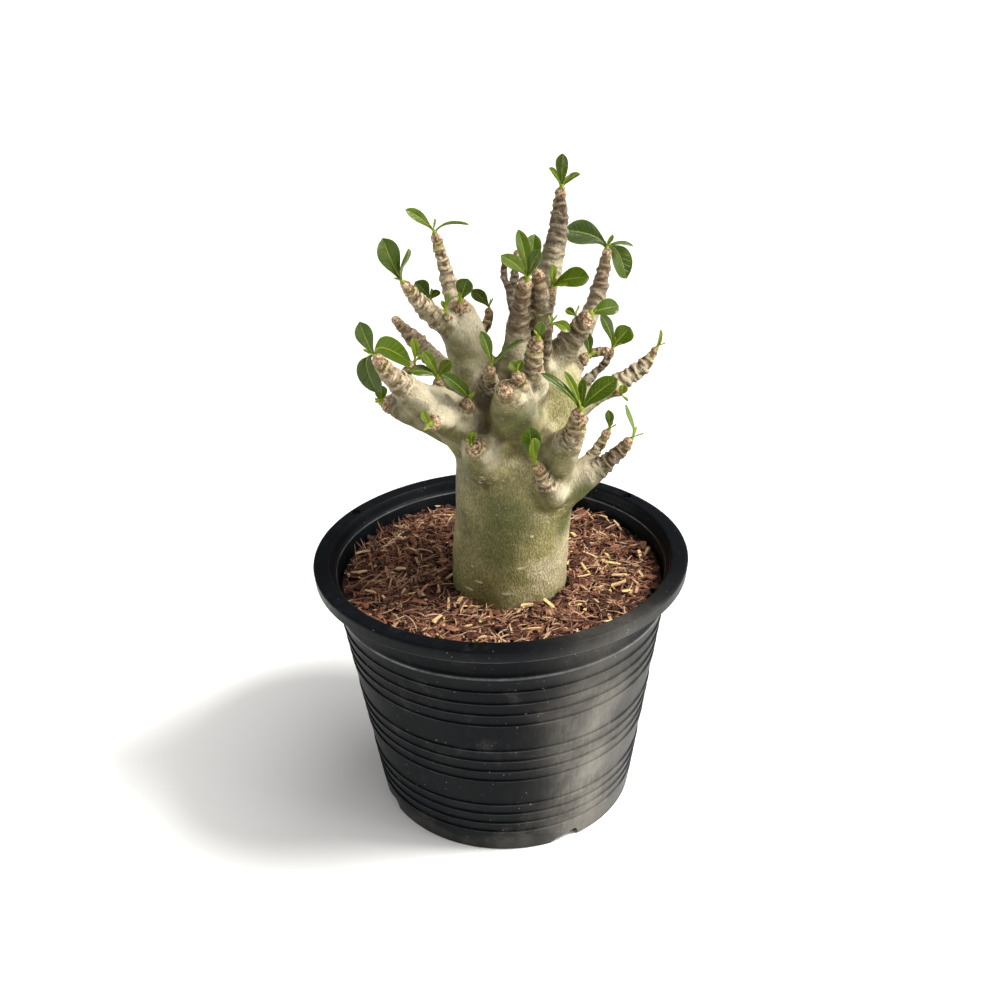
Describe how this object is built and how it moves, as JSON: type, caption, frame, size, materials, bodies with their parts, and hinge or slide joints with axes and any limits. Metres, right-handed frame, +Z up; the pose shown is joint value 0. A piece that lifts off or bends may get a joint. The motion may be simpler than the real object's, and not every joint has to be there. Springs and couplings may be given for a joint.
{
  "type": "potted desert rose",
  "caption": "Desert rose with a thick bare trunk, ringed branches and small leaf tufts, growing in a round black nursery pot filled with chopped coconut husk.",
  "frame": {"origin": "on the floor under the middle of the pot, which is the bottom centre of the bounding box", "axes": "+Z up the pot's axis and the plant, +X to the right and +Y away when the plant is seen from its fuller side"},
  "size_m": [0.25, 0.25, 0.4363],
  "materials": {
    "pot_plastic": "black injection-moulded plastic with a soft sheen, dusty near the foot",
    "husk": "loose reddish-brown coconut husk fibres with tan chips",
    "bark": "smooth grey-olive succulent bark, fine upright streaks, cream ridges at the leaf scars",
    "leaf": "glossy mid-green leaf with a pale midrib and fine side veins"
  },
  "bodies": {
    "root": {"pot": "pot_plastic", "soil": "husk", "adenium": "bark", "tuft_back_short": "leaf", "tuft_back_tall": "leaf", "tuft_back_thin": "leaf", "tuft_east_front": "leaf", "tuft_east_long": "leaf", "tuft_east_nub": "leaf", "tuft_front_middle": "leaf", "tuft_front_twig": "leaf", "tuft_leader": "leaf", "tuft_leader_twig": "leaf", "tuft_left_fork": "leaf", "tuft_left_fork_spur": "leaf", "tuft_left_front_twig": "leaf", "tuft_left_hook": "leaf", "tuft_left_nub": "leaf", "tuft_left_stub": "leaf", "tuft_left_tall": "leaf", "tuft_low_bud": "leaf", "tuft_low_front": "leaf", "tuft_low_twig": "leaf", "tuft_middle": "leaf", "tuft_right_arm": "leaf", "tuft_right_nub": "leaf", "tuft_right_stub": "leaf", "tuft_trunk_bud": "leaf", "tuft_west_bud": "leaf", "tuft_west_low": "leaf", "tuft_west_spur": "leaf", "tuft_west_stub": "leaf", "tuft_west_twig": "leaf", "tuft_west_under": "leaf"}
  },
  "joints": []
}
